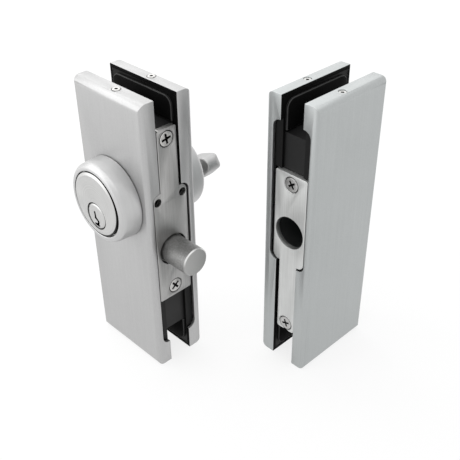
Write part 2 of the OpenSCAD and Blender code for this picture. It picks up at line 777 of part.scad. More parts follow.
module strike_plate_screws() {
    color("Silver") at_strike() translate([0, strike_plate_shift, 0])
        for (z = strike_screw_z) plate_screw(z);
}

front_cover();
back_cover();
cover_screws();
front_clamp_plate();
back_clamp_plate();
front_pad();
back_pad();
clamp_screws();
clamp_nuts();
lock_case();
lock_plate();
lock_plate_screws();
set_screws();
bolt();
bolt_tail();
tail_screw();
cylinder_collar();
cylinder_shell();
driver_pins();
pin_springs();
cylinder_plug();
key_pins();
cylinder_cam();
cam_screws();
turn_collar();
turn_housing();
turn_spindle();
thumb_turn();
turn_pin();
turn_cam();
turn_cam_screws();
strike_front_cover();
strike_back_cover();
strike_cover_screws();
strike_front_clamp_plate();
strike_back_clamp_plate();
strike_front_pad();
strike_back_pad();
strike_clamp_screws();
strike_clamp_nuts();
strike_case();
bolt_cup();
strike_plate();
strike_plate_screws();
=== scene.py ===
import bpy
import bmesh
import math
from mathutils import Matrix, Vector


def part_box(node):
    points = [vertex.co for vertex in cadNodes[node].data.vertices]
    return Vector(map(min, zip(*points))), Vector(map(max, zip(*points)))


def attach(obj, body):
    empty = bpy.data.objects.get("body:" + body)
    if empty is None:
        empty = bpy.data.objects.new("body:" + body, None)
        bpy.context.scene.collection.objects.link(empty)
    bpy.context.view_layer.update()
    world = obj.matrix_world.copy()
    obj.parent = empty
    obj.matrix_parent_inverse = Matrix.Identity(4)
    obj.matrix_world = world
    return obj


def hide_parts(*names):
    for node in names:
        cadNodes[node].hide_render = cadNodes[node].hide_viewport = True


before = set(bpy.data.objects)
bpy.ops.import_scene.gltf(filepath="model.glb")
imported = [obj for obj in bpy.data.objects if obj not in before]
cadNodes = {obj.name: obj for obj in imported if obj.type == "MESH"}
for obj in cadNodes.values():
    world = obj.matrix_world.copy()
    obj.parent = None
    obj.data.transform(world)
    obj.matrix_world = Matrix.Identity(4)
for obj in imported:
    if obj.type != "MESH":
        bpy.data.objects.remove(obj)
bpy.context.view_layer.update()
print("frame loaded with", len(cadNodes), "CAD nodes")

mm = 0.001
noiseSpan = (0.3, 0.7)  # where most of a noise texture's values lie


# Colours are written as sRGB hex and turned to the linear values that Blender wants
def linear(hexColour):
    parts = [int(hexColour[i:i + 2], 16) / 255 for i in (1, 3, 5)]
    return tuple(p / 12.92 if p <= 0.04045 else ((p + 0.055) / 1.055) ** 2.4 for p in parts) + (1,)


# Adds one node, sets it up and wires whatever inputs are given as sockets
def addNode(tree, kind, inputs={}, **settings):
    node = tree.nodes.new(kind)
    for name, value in settings.items():
        setattr(node, name, value)
    for name, value in inputs.items():
        if isinstance(value, bpy.types.NodeSocket):
            tree.links.new(value, node.inputs[name])
        else:
            node.inputs[name].default_value = value
    return node


def startMaterial(name):
    material = bpy.data.materials.new(name)
    material.use_nodes = True
    material.node_tree.nodes.clear()
    place = addNode(material.node_tree, "ShaderNodeTexCoord").outputs["Object"]
    return material, material.node_tree, place


# Spreads a pattern over the two tones of a finish
def blendTones(tree, pattern, values):
    low, high = values["toneSpan"]
    spread = addNode(tree, "ShaderNodeMapRange", {"Value": pattern, "From Min": low, "From Max": high})
    tones = addNode(tree, "ShaderNodeMix", {"Factor": spread.outputs[0], 6: linear(values["deep"]),
                                            7: linear(values["pale"])}, data_type="RGBA")
    return tones.outputs[2]


# What every finish ends in: a roughness that wanders, and a fine relief. polish is where it is smoother, and how
# much. Only a coat has a gloss of its own, and all else is bare metal
def finishMaterial(tree, colour, wander, relief, values, polish=None):
    rough = addNode(tree, "ShaderNodeMapRange", {
        "Value": wander, "From Min": noiseSpan[0], "From Max": noiseSpan[1],
        "To Min": values["roughness"][0], "To Max": values["roughness"][1]}).outputs[0]
    if polish:
        rough = addNode(tree, "ShaderNodeMix", {"Factor": polish[0], 2: rough, 3: polish[1]},
                        data_type="FLOAT").outputs[0]
    bump = addNode(tree, "ShaderNodeBump", {"Height": relief, "Strength": values["relief"],
                                            "Distance": values["reliefMm"] * mm})
    body = {"Metallic": 0.0, "Specular IOR Level": values["gloss"]} if "gloss" in values else {"Metallic": 1.0}
    shader = addNode(tree, "ShaderNodeBsdfPrincipled", {"Base Color": colour, "Roughness": rough,
                                                        "Normal": bump.outputs[0], **body})
    addNode(tree, "ShaderNodeOutputMaterial", {"Surface": shader.outputs[0]})


# Fine lines up the length of a piece, as a die or a grinding belt leaves them
def uprightLines(tree, place, values):
    across, along = 1 / (values["lineWidthMm"] * mm), 1 / (values["lineRunMm"] * mm)
    stretched = addNode(tree, "ShaderNodeMapping", {"Vector": place, "Scale": (across, across, along)})
    return addNode(tree, "ShaderNodeTexNoise", {
        "Vector": stretched.outputs[0], "Scale": 1, "Detail": values["lineDetail"],
        "Roughness": values["lineRoughness"]}).outputs[0]


# Extruded aluminium, bead blasted and clear anodised: a pale even satin, with faint draw lines up its length
coverFinish = {"pale": "#bfbfbf", "deep": "#b9b9b9", "toneSpan": (0.7, 1.3), "roughness": (0.41, 0.49),
               "lineWidthMm": 0.9, "lineRunMm": 60, "lineDetail": 3, "lineRoughness": 0.6, "speckleMm": 0.7,
               "cloudMm": 35.7, "relief": 0.25, "reliefMm": 0.012}
strikeCoverFinish = {**coverFinish, "pale": "#b8bbbb", "deep": "#b2b5b5"}  # a cooler batch


def anodisedAluminium(name, values):
    material, tree, place = startMaterial(name)
    lines = uprightLines(tree, place, values)
    speckle = addNode(tree, "ShaderNodeTexNoise", {"Vector": place, "Scale": 1 / (values["speckleMm"] * mm),
                                                   "Detail": 2})
    clouds = addNode(tree, "ShaderNodeTexNoise", {"Vector": place, "Scale": 1 / (values["cloudMm"] * mm),
                                                  "Detail": 2})
    blend = addNode(tree, "ShaderNodeMath", {0: lines, 1: speckle.outputs[0]}, operation="ADD")
    finishMaterial(tree, blendTones(tree, blend.outputs[0], values), clouds.outputs[0], blend.outputs[0], values)
    return material


# Stainless strip ground with a belt: straight lines up the plate, sharper and darker than the anodised covers
plateFinish = {"pale": "#bcbcbb", "deep": "#a09f9e", "toneSpan": (0.32, 0.68), "roughness": (0.34, 0.48),
               "lineWidthMm": 0.4, "lineRunMm": 45, "lineDetail": 4, "lineRoughness": 0.7, "scuffMm": 8.33,
               "relief": 0.5, "reliefMm": 0.008}
# The strike's plate is a paler copy, painted light for the light that falls on the side it faces, and it is duller
strikePlateLitFinish = {**plateFinish, "pale": "#dcdddc", "deep": "#cbcccb", "roughness": (0.44, 0.58)}


def beltGroundSteel(name, values):
    material, tree, place = startMaterial(name)
    lines = uprightLines(tree, place, values)
    scuffs = addNode(tree, "ShaderNodeTexNoise", {"Vector": place, "Scale": 1 / (values["scuffMm"] * mm),
                                                  "Detail": 3})
    finishMaterial(tree, blendTones(tree, lines, values), scuffs.outputs[0], lines, values)
    return material


# The cylinder's and the plug's axes lie along Y, through the middles of their CAD nodes
shellLow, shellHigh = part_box("cylinder_shell")
plugLow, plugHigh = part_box("cylinder_plug")
cylinderAxis = (shellLow + shellHigh) / 2
plugAxis = (plugLow + plugHigh) / 2

# Turned brass plated with satin nickel: rings left by the lathe, round the axis that the piece turns on
turnedFinish = {"pale": "#cfcfce", "deep": "#c1c1c0", "toneSpan": (0.7, 1.3), "roughness": (0.31, 0.41),
                "ringMm": 0.7, "cloudMm": 11.1, "relief": 0.4, "reliefMm": 0.008}
collarFinish = {**turnedFinish, "pale": "#cbcbcb", "deep": "#c2c2c2", "roughness": (0.39, 0.49)}
thumbFinish = {**turnedFinish, "pale": "#b4b4b4", "deep": "#a8a8a8", "roughness": (0.35, 0.45)}

# Past its rim, and further back than its face, a head is painted dark: painted shade for the shadowed gap where it sits
# in its ring.
# Inside its core it is so from nearer the face, as painted shade in a keyway. The painted shade is widest at the lower
# right, away from the light, so the rim's centre lies a little up and left. A limit at 1000 mm is never reached
paintedShade = {"colour": "#161616", "rimMm": 17.5, "rimBlurMm": 0.08, "rimShiftMm": 0, "backMm": 1000, "coreMm": 1,
           "coreBlurMm": 0.1, "coreBackMm": 1000}
headShade = {**paintedShade, "rimShiftMm": 0.42, "backMm": shellLow.y / mm + 0.75}
housingShade = {**paintedShade, "rimMm": 17.4}
plugShade = {**paintedShade, "rimMm": 6.95, "backMm": plugLow.y / mm + 0.55, "coreMm": 6.0,
           "coreBackMm": plugLow.y / mm + 0.1}


# How far each point is from an axis along Y
def axisDistance(tree, place, x, z):
    centred = addNode(tree, "ShaderNodeMapping", {"Vector": place, "Location": (-x, 0, -z), "Scale": (1, 0, 1)})
    return addNode(tree, "ShaderNodeVectorMath", {0: centred.outputs[0]}, operation="LENGTH").outputs["Value"]


def turnedNickel(name, values, axis, shadeMark=None):
    material, tree, place = startMaterial(name)
    radius = axisDistance(tree, place, axis.x, axis.z)
    rings = addNode(tree, "ShaderNodeTexNoise", {"W": radius, "Scale": 1 / (values["ringMm"] * mm), "Detail": 3},
                    noise_dimensions="1D")
    clouds = addNode(tree, "ShaderNodeTexNoise", {"Vector": place, "Scale": 1 / (values["cloudMm"] * mm),
                                                  "Detail": 3})
    blend = addNode(tree, "ShaderNodeMath", {0: rings.outputs[0], 1: clouds.outputs[0]}, operation="ADD")
    colour = blendTones(tree, blend.outputs[0], values)
    if shadeMark:
        colour = darkenWithShade(tree, place, radius, colour, axis, shadeMark)
    finishMaterial(tree, colour, clouds.outputs[0], rings.outputs[0], values)
    return material


# Paints shade: the rim and the core go toward the shade colour, for the shadowed gap round a head and the depth of a
# keyway
def darkenWithShade(tree, place, radius, colour, axis, shadeMark):
    shift = shadeMark["rimShiftMm"] * mm
    rim = addNode(tree, "ShaderNodeMapRange", {
        "Value": axisDistance(tree, place, axis.x - shift, axis.z + shift),
        "From Min": (shadeMark["rimMm"] - shadeMark["rimBlurMm"]) * mm, "From Max": (shadeMark["rimMm"] + shadeMark["rimBlurMm"]) * mm})
    limit = addNode(tree, "ShaderNodeMapRange", {
        "Value": radius, "From Min": (shadeMark["coreMm"] - shadeMark["coreBlurMm"]) * mm,
        "From Max": (shadeMark["coreMm"] + shadeMark["coreBlurMm"]) * mm,
        "To Min": shadeMark["coreBackMm"] * mm, "To Max": shadeMark["backMm"] * mm})
    parts = addNode(tree, "ShaderNodeSeparateXYZ", {0: place})
    behind = addNode(tree, "ShaderNodeMath", {0: parts.outputs[1], 1: limit.outputs[0]}, operation="GREATER_THAN")
    dark = addNode(tree, "ShaderNodeMath", {0: rim.outputs[0], 1: behind.outputs[0]}, operation="MAXIMUM")
    return addNode(tree, "ShaderNodeMix", {"Factor": dark.outputs[0], 6: colour, 7: linear(shadeMark["colour"])},
                   data_type="RGBA").outputs[2]


# Steel, barrel tumbled and plated: a cloudy grey with small dull spots and light handling marks
boltFinish = {"pale": "#9c9c9b", "deep": "#7a7a79", "toneSpan": (0.65, 1.35), "roughness": (0.42, 0.58),
              "blotchMm": 5, "spotMm": 0.9, "relief": 0.3, "reliefMm": 0.01}
# Zinc-plated screws are paler and smoother, the strike's have dulled, and the set screws are blackened
screwFinish = {**boltFinish, "pale": "#e2e1df", "deep": "#b4b3b1", "roughness": (0.26, 0.42), "blotchMm": 3,
               "spotMm": 0.7}
dullScrewFinish = {**screwFinish, "pale": "#cdcdcc", "deep": "#a6a5a4"}
setScrewFinish = {**screwFinish, "pale": "#4a4a49", "deep": "#1c1c1b", "roughness": (0.34, 0.5)}
# Machined brass, yellow and bright, and drawn spring wire, darker
brassFinish = {**boltFinish, "pale": "#d8b877", "deep": "#b08a48", "roughness": (0.24, 0.4), "blotchMm": 4,
               "spotMm": 0.8}
springFinish = {**boltFinish, "pale": "#9a9a9c", "deep": "#5d5d60", "roughness": (0.26, 0.42), "blotchMm": 2,
                "spotMm": 0.5}

# The bolt's end: a ground bevel, with a painted highlight over its upper half where the light falls, and a face
# turned on the lathe, paler partly for that finish and partly as painted light
boltLow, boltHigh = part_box("bolt")
boltEnd = {"reachMm": boltHigh.x / mm, "heightMm": (boltLow.z + boltHigh.z) / 2 / mm, "bevelMm": 0.85, "blurMm": 0.25,
           "faceMm": 0.12, "bevelColour": "#a0a09f", "highlightColour": "#e6e6e5", "faceColour": "#adadac",
           "highlightFromMm": 0.5, "highlightToMm": 4.5, "bevelRoughness": 0.3}


def tumbledMetal(name, values, end=None):
    material, tree, place = startMaterial(name)
    blotches = addNode(tree, "ShaderNodeTexNoise", {"Vector": place, "Scale": 1 / (values["blotchMm"] * mm),
                                                    "Detail": 5, "Roughness": 0.65})
    spots = addNode(tree, "ShaderNodeTexNoise", {"Vector": place, "Scale": 1 / (values["spotMm"] * mm), "Detail": 2})
    blend = addNode(tree, "ShaderNodeMath", {0: blotches.outputs[0], 1: spots.outputs[0]}, operation="ADD")
    colour, polish = blendTones(tree, blend.outputs[0], values), None
    if end:
        colour, polish = groundEnd(tree, place, colour, end)
    finishMaterial(tree, colour, blotches.outputs[0], spots.outputs[0], values, polish)
    return material


def groundEnd(tree, place, colour, end):
    reach, height = end["reachMm"], end["heightMm"]
    sides = addNode(tree, "ShaderNodeSeparateXYZ", {0: place}).outputs
    bevel, face, upper = (
        addNode(tree, "ShaderNodeMapRange", {"Value": side, "From Min": start * mm, "From Max": stop * mm}).outputs[0]
        for side, start, stop in ((sides[0], reach - end["bevelMm"], reach - end["bevelMm"] + end["blurMm"]),
                                  (sides[0], reach - end["faceMm"], reach - end["faceMm"] / 2),
                                  (sides[2], height + end["highlightFromMm"], height + end["highlightToMm"])))
    # A painted highlight: the bevel turns paler toward its top
    highlighted = addNode(tree, "ShaderNodeMix", {"Factor": upper, 6: linear(end["bevelColour"]),
                                             7: linear(end["highlightColour"])}, data_type="RGBA").outputs[2]
    for share, tone in ((bevel, highlighted), (face, linear(end["faceColour"]))):
        colour = addNode(tree, "ShaderNodeMix", {"Factor": share, 6: colour, 7: tone}, data_type="RGBA").outputs[2]
    return colour, (bevel, end["bevelRoughness"])


# Die-cast zinc with a powder coat: a fine orange peel and a dull gloss. The clamp plates' coat is the blackest
castingFinish = {"pale": "#1b1b1b", "deep": "#101011", "toneSpan": (0, 1), "roughness": (0.44, 0.56), "grainMm": 0.8,
                 "wearMm": 14.3, "relief": 0.5, "reliefMm": 0.03, "gloss": 0.3}
clampFinish = {**castingFinish, "pale": "#0f0f0f", "deep": "#080808", "gloss": 0.2}
# Matt rubber, which takes up light, and its corners, a paler grey as painted highlight. The covers' rim shade is of it
# too
rubberFinish = {**castingFinish, "pale": "#0c0c0c", "deep": "#070707", "roughness": (0.69, 0.81), "grainMm": 0.6,
                "reliefMm": 0.02, "gloss": 0.1}
padHighlightFinish = {**rubberFinish, "pale": "#5a5a5a", "deep": "#3c3c3c", "roughness": (0.44, 0.56)}
# Sockets and countersinks, darkened as painted shade in their hollows
socketShadeFinish = {**castingFinish, "pale": "#1c1b1a", "deep": "#0e0e0d", "roughness": (0.54, 0.66), "grainMm": 0.4,
                "reliefMm": 0.01, "gloss": 0.15}
# Moulded nylon: charcoal, smooth and a little glossy
nylonFinish = {**castingFinish, "pale": "#2c2e2e", "deep": "#1d1e1e", "roughness": (0.32, 0.44), "grainMm": 1.2,
               "reliefMm": 0.01, "gloss": 0.5}


def blackCoat(name, values):
    material, tree, place = startMaterial(name)
    grain = addNode(tree, "ShaderNodeTexNoise", {"Vector": place, "Scale": 1 / (values["grainMm"] * mm), "Detail": 3})
    wear = addNode(tree, "ShaderNodeTexNoise", {"Vector": place, "Scale": 1 / (values["wearMm"] * mm), "Detail": 3})
    finishMaterial(tree, blendTones(tree, wear.outputs[0], values), wear.outputs[0], grain.outputs[0], values)
    return material


coverMetal = anodisedAluminium("clearAnodisedAluminium", coverFinish)
strikeCoverMetal = anodisedAluminium("clearAnodisedAluminiumCool", strikeCoverFinish)
plateMetal = beltGroundSteel("beltGroundStainless", plateFinish)
strikePlateLitMetal = beltGroundSteel("beltGroundStainlessLitCopy", strikePlateLitFinish)
collarMetal = turnedNickel("satinNickelCollar", collarFinish, cylinderAxis)
headMetal = turnedNickel("satinNickelHead", turnedFinish, cylinderAxis, headShade)
housingMetal = turnedNickel("satinNickelHousing", turnedFinish, cylinderAxis, housingShade)
plugMetal = turnedNickel("satinNickelPlug", turnedFinish, plugAxis, plugShade)
turnMetal = turnedNickel("satinNickelTurn", thumbFinish, plugAxis)
boltMetal = tumbledMetal("tumbledPlatedSteel", boltFinish, boltEnd)
screwMetal = tumbledMetal("zincPlatedScrewSteel", screwFinish)
dullScrewMetal = tumbledMetal("dullScrewSteel", dullScrewFinish)
setScrewMetal = tumbledMetal("blackenedScrewSteel", setScrewFinish)
pinMetal = tumbledMetal("machinedBrass", brassFinish)
springMetal = tumbledMetal("springSteel", springFinish)
castingCoat = blackCoat("blackCoatedCasting", castingFinish)
clampCoat = blackCoat("blackClampCasting", clampFinish)
padRubber = blackCoat("blackPadRubber", rubberFinish)
rimShade = blackCoat("paintedShadeRim", rubberFinish)
padEdgeHighlight = blackCoat("paintedHighlightPadEdge", padHighlightFinish)
cupNylon = blackCoat("blackNylon", nylonFinish)
socketShade = blackCoat("paintedShadeSocket", socketShadeFinish)
print("materials made:", len(bpy.data.materials))

# Each CAD node takes the material of the real piece
nodeMaterials = {
    coverMetal: ["front_cover", "back_cover"],
    strikeCoverMetal: ["strike_front_cover", "strike_back_cover"],
    plateMetal: ["lock_plate"],
    strikePlateLitMetal: ["strike_plate"],
    collarMetal: ["cylinder_collar", "turn_collar"],
    headMetal: ["cylinder_shell"],
    housingMetal: ["turn_housing"],
    plugMetal: ["cylinder_plug"],
    turnMetal: ["turn_spindle", "thumb_turn"],
    boltMetal: ["bolt", "bolt_tail"],
    screwMetal: ["cover_screws", "clamp_screws", "clamp_nuts", "lock_plate_screws", "tail_screw", "cam_screws",
                 "turn_pin", "turn_cam_screws", "strike_cover_screws", "strike_clamp_screws", "strike_clamp_nuts"],
    dullScrewMetal: ["strike_plate_screws"],
    setScrewMetal: ["set_screws"],
    pinMetal: ["driver_pins", "key_pins", "cylinder_cam", "turn_cam"],
    springMetal: ["pin_springs"],
    castingCoat: ["lock_case", "strike_case"],
    clampCoat: ["front_clamp_plate", "back_clamp_plate", "strike_front_clamp_plate", "strike_back_clamp_plate"],
    padRubber: ["front_pad", "back_pad", "strike_front_pad", "strike_back_pad"],
    cupNylon: ["bolt_cup"]}
for material, names in nodeMaterials.items():
    for name in names:
        mesh = cadNodes[name].data
        mesh.materials.clear()
        mesh.materials.append(material)
print("CAD nodes dressed")


# Pieces that need a finer shape than their CAD node

def linkPiece(name, mesh):
    piece = bpy.data.objects.new(name, mesh)
    bpy.context.scene.collection.objects.link(piece)
    return piece


def pieceFrom(name, work):
    mesh = bpy.data.meshes.new(name)
    work.to_mesh(mesh)
    work.free()
    return linkPiece(name, mesh)


# Joins a mesh's loose faces. Flat ones are made whole up to flatDeg, and outward turns all of them to the outside
def weld(mesh, reachMm=0.001, flatDeg=None, outward=False):
    work = bmesh.new()
    work.from_mesh(mesh)
    bmesh.ops.remove_doubles(work, verts=work.verts, dist=reachMm * mm)
    if flatDeg:
        bmesh.ops.dissolve_limit(work, angle_limit=math.radians(flatDeg), verts=work.verts, edges=work.edges)
    if outward:
        bmesh.ops.recalc_face_normals(work, faces=work.faces)
    work.to_mesh(mesh)
    work.free()


# A copy of a CAD node, as a piece of its own
def copyNode(name, node, material, flatDeg=None):
    mesh = cadNodes[node].data.copy()
    weld(mesh, flatDeg=flatDeg)
    mesh.materials.clear()
    mesh.materials.append(material)
    return linkPiece(name, mesh)


# Replaces a piece's mesh by the result of its modifiers, with smooth shading up to an angle
def settle(piece, sharpDeg=32):
    mesh = bpy.data.meshes.new_from_object(piece.evaluated_get(bpy.context.evaluated_depsgraph_get()))
    piece.modifiers.clear()
    piece.data = mesh
    mesh.shade_smooth()
    mesh.set_sharp_from_angle(angle=math.radians(sharpDeg))


def cutAway(piece, cutters, sharpDeg):
    for cutter in cutters:
        cut = piece.modifiers.new(cutter.name, "BOOLEAN")
        cut.operation, cut.solver, cut.object = "DIFFERENCE", "EXACT", cutter
    settle(piece, sharpDeg)
    for cutter in cutters:
        bpy.data.objects.remove(cutter)


def handOver(piece, body, slot, *nodes):
    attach(piece, body)
    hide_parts(*nodes)


# Machined and extruded pieces: the CAD shape, with the small rounding that deburring leaves on its edges.
# The covers' inner rims are black as painted shade where they face the slot, and the pads' corners carry a painted
# highlight
edgeForm = {"flatDeg": 0.3, "sharpDeg": 40, "segments": 2, "rimFacing": 0.9, "rimReachMm": 0.3}
edgeBreaks = {
    "coverEdges": {"widthMm": 0.22, "material": coverMetal, "slot": "satin_cover", "rimMaterial": rimShade,
                   "nodes": ["front_cover", "back_cover"]},
    "strikeCoverEdges": {"widthMm": 0.22, "material": strikeCoverMetal, "slot": "satin_cover", "rimMaterial": rimShade,
                         "nodes": ["strike_front_cover", "strike_back_cover"]},
    "lockPlateEdges": {"widthMm": 0.1, "material": plateMetal, "slot": "edge_plate", "nodes": ["lock_plate"]},
    "strikePlateEdges": {"widthMm": 0.12, "material": strikePlateLitMetal, "slot": "edge_plate",
                         "nodes": ["strike_plate"]},
    "padEdges": {"widthMm": 0.45, "material": padRubber, "edgeMaterial": padEdgeHighlight, "slot": "pad_rubber",
                 "nodes": ["front_pad", "back_pad", "strike_front_pad", "strike_back_pad"]},
    "cupEdges": {"widthMm": 0.15, "material": cupNylon, "slot": "black_plastic", "nodes": ["bolt_cup"]}}


# Lays the second material, painted shade, on the faces of a cover that look at its partner over the slot
def shadeRim(mesh, node, partner, form):
    low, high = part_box(node)
    partnerLow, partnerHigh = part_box(partner)
    away = (partnerLow + partnerHigh - low - high) / 2
    axis = max(range(3), key=lambda i: abs(away[i]))
    rim = high[axis] if away[axis] > 0 else low[axis]
    for face in mesh.polygons:
        if abs(face.normal[axis]) > form["rimFacing"] and abs(face.center[axis] - rim) < form["rimReachMm"] * mm:
            face.material_index = 1


def breakEdges(node, values, form):
    piece = copyNode(node + "_edged", node, values["material"], form["flatDeg"])
    rounding = piece.modifiers.new("edgeBreak", "BEVEL")
    if "edgeMaterial" in values:
        piece.data.materials.append(values["edgeMaterial"])
        rounding.material = 1
    rounding.width = values["widthMm"] * mm
    rounding.segments = form["segments"]
    rounding.limit_method = "ANGLE"
    rounding.angle_limit = math.radians(form["sharpDeg"])
    rounding.use_clamp_overlap = False
    settle(piece)
    if "rimMaterial" in values:
        piece.data.materials.append(values["rimMaterial"])
        shadeRim(piece.data, node, [other for other in values["nodes"] if other != node][0], form)
    handOver(piece, "housings", values["slot"], node)


for values in edgeBreaks.values():
    for node in values["nodes"]:
        breakEdges(node, values, edgeForm)
print("edges broken on covers, plates, pads and cup")


# Screws

# A turned or milled shape, built as rings from its tip to the middle of its socket, with its head toward +Z.
# Rings from darkFrom on, and the ones named in darkRings, get the painted shade mark of a socket or a countersink's
# ring
def ringStack(name, rings, angles, endHeight, darkFrom, darkRings=()):
    work = bmesh.new()
    loops = [[work.verts.new((radius(a) * mm * math.cos(a), radius(a) * mm * math.sin(a), height * mm))
              for a in angles] for height, radius in rings]
    oily = work.faces.layers.float.new("oily")
    for k in range(len(loops) - 1):
        for i in range(len(angles)):
            face = work.faces.new((loops[k][i - 1], loops[k][i], loops[k + 1][i], loops[k + 1][i - 1]))
            face[oily] = 1.0 if k >= darkFrom or k in darkRings else 0.0
    work.faces.new(list(reversed(loops[0])))
    middle = work.verts.new((0, 0, endHeight * mm))
    for i in range(len(angles)):
        work.faces.new((loops[-1][i - 1], loops[-1][i], middle))[oily] = 1.0
    return pieceFrom(name, work)


def roundRing(radius):
    return lambda a: radius


# half is half across the flats of the hexagon, and grow widens it
def hexRing(half, grow=0.0):
    return lambda a: half / math.cos((a + math.pi / 6) % (math.pi / 3) - math.pi / 6) + grow


# A cross of four arms, each arm long and twice half wide
def crossRing(arm, half, grow=0.0):
    def radius(a):
        x, y = abs(math.cos(a)), abs(math.sin(a))
        x, y = max(x, y), max(min(x, y), 1e-6)
        return min(arm / x, half / y) + grow
    return radius


# Countersunk cross-head screws. headMm and shankMm are radii, and ringMm is the dark ring of the countersink
crossHead = {"headMm": 4.25, "shankMm": 2.2, "headDepthMm": 2.2, "lengthMm": 9.4, "pointMm": 0.5, "pointRunMm": 0.6,
             "rimMm": 0.3, "ringMm": 0.36, "ringDepthMm": 0.12, "ringThickMm": 0.04, "edgeMm": 0.22, "crownMm": 0.06,
             "crownShare": 0.8, "armMm": 2.75, "slotMm": 0.6, "lipMm": 0.14, "lipHeightMm": 0.04, "socketMm": 1.9,
             "turnsDeg": [38, 10]}
# The strike's screws have a smaller cross, and sit tighter in their countersinks
strikeHead = {**crossHead, "armMm": 2.35, "slotMm": 0.52, "ringMm": 0.2, "turnsDeg": [20, 35]}


def crossHeadShape(values):
    wing = math.atan2(values["slotMm"], values["armMm"])
    steps = [0, wing / 2, wing, (wing + math.pi / 4) / 2, math.pi / 4]
    quarter = steps + [math.pi / 2 - a for a in reversed(steps[1:-1])]
    angles = [quadrant * math.pi / 2 + a for quadrant in range(4) for a in quarter]
    head, shank, length, socket = (values[k] for k in ("headMm", "shankMm", "lengthMm", "socketMm"))
    arm, half, ring, ringTop = (values[k] for k in ("armMm", "slotMm", "ringMm", "ringDepthMm"))
    return ringStack("crossHeadShape", [
        (-length, roundRing(shank - values["pointMm"])),
        (-length + values["pointRunMm"], roundRing(shank)),
        (-values["headDepthMm"], roundRing(shank)),
        (-values["rimMm"], roundRing(head - values["rimMm"])),
        (-ringTop - values["ringThickMm"], roundRing(head + ring)),
        (-ringTop, roundRing(head + ring)),
        (-ringTop, roundRing(head - values["ringThickMm"])),
        (0, roundRing(head - values["edgeMm"])),
        (values["crownMm"], roundRing(head * values["crownShare"])),
        (values["lipHeightMm"], crossRing(arm, half, values["lipMm"])),
        (-ringTop, crossRing(arm, half)),
        (-socket * 0.8, crossRing(arm * 0.6, half * 0.85))],  # the cross narrows toward its floor
        angles, -socket, 9, (3, 4, 5, 6))


# Socket screws. socketMm is half across the flats, and ringMm the dark ring round a grub screw in its hole
grubScrew = {"radiusMm": 2.15, "lengthMm": 7.0, "socketMm": 0.85, "socketDepthMm": 2.0, "edgeMm": 0.25, "ringMm": 0.3,
             "turnsDeg": [10, 41, 27, 52, 5]}
setScrew = {"radiusMm": 2.0, "lengthMm": 9.5, "socketMm": 1.15, "socketDepthMm": 1.4, "edgeMm": 0.3,
            "turnsDeg": [18, 47]}
capScrew = {"radiusMm": 4.2, "headHeightMm": 4.4, "shankMm": 2.5, "lengthMm": 27.6, "socketMm": 2.3,
            "socketDepthMm": 2.4, "edgeMm": 0.4, "turnsDeg": [8, 33, 51]}
socketForm = {"segments": 36, "pointRunMm": 0.4, "ringBedMm": 0.4, "ringLowMm": 0.3, "ringTopMm": 0.27,
              "mouthMm": 0.12, "drillPointMm": 0.3}


def hexSocketShape(name, values, form):
    angles = [i * math.tau / form["segments"] for i in range(form["segments"])]
    outer, depth, length, edge = (values[k] for k in ("radiusMm", "socketDepthMm", "lengthMm", "edgeMm"))
    shank, mouth = values.get("shankMm", outer), form["mouthMm"]
    rings = [(-length, roundRing(shank - edge)), (-length + form["pointRunMm"], roundRing(shank))]
    dark = ()
    if "headHeightMm" in values:
        rings += [(-values["headHeightMm"], roundRing(shank)), (-values["headHeightMm"], roundRing(outer))]
    if "ringMm" in values:
        dark = tuple(range(len(rings) - 1, len(rings) + 3))
        wide = outer + values["ringMm"]
        rings += [(-form["ringBedMm"], roundRing(outer)), (-form["ringLowMm"], roundRing(wide)),
                  (-form["ringTopMm"], roundRing(wide)), (-form["ringTopMm"], roundRing(outer))]
    rings += [(-edge, roundRing(outer)), (0, roundRing(outer - edge)), (0, hexRing(values["socketMm"], mouth)),
              (-mouth, hexRing(values["socketMm"])), (-depth, hexRing(values["socketMm"]))]
    return ringStack(name, rings, angles, -depth - form["drillPointMm"], len(rings) - 2, dark)


# Where a node's screws stand, from its box: their heads face one way along an axis, and they stand in its corners
def screwSpots(node, axis, way, radiusMm):
    low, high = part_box(node)
    reach, slack = radiusMm * mm, 0.2 * mm
    spans = []
    for i in range(3):
        if i == axis:
            spans.append([high[i] if way > 0 else low[i]])
        elif high[i] - low[i] < 2 * reach + slack:
            spans.append([(low[i] + high[i]) / 2])
        else:
            spans.append([low[i] + reach, high[i] - reach])
    facing = Vector([way if i == axis else 0 for i in range(3)])
    return [(Vector((x, y, z)), facing) for x in spans[0] for y in spans[1] for z in spans[2]]


# Starts a Geometry Nodes tree with named inputs
def startTree(name, inputs):
    tree = bpy.data.node_groups.new(name, "GeometryNodeTree")
    for label, kind in inputs.items():
        tree.interface.new_socket(label, in_out="INPUT", socket_type="NodeSocket" + kind)
    tree.interface.new_socket("Geometry", in_out="OUTPUT", socket_type="NodeSocketGeometry")
    return tree, addNode(tree, "NodeGroupInput").outputs


def finishTree(tree, geometry, material):
    real = addNode(tree, "GeometryNodeRealizeInstances", {"Geometry": geometry})
    dressed = addNode(tree, "GeometryNodeSetMaterial", {"Geometry": real.outputs[0], "Material": material})
    addNode(tree, "NodeGroupOutput", {"Geometry": dressed.outputs[0]})
    return tree


# Runs a tree on a mesh and keeps the plain result
def growPiece(name, tree, mesh, values, sharpDeg=32):
    piece = linkPiece(name, mesh)
    modifier = piece.modifiers.new(name, "NODES")
    modifier.node_group = tree
    for item in tree.interface.items_tree:
        if item.in_out == "INPUT" and item.name in values:
            modifier[item.identifier] = values[item.name]
    settle(piece, sharpDeg)
    return piece


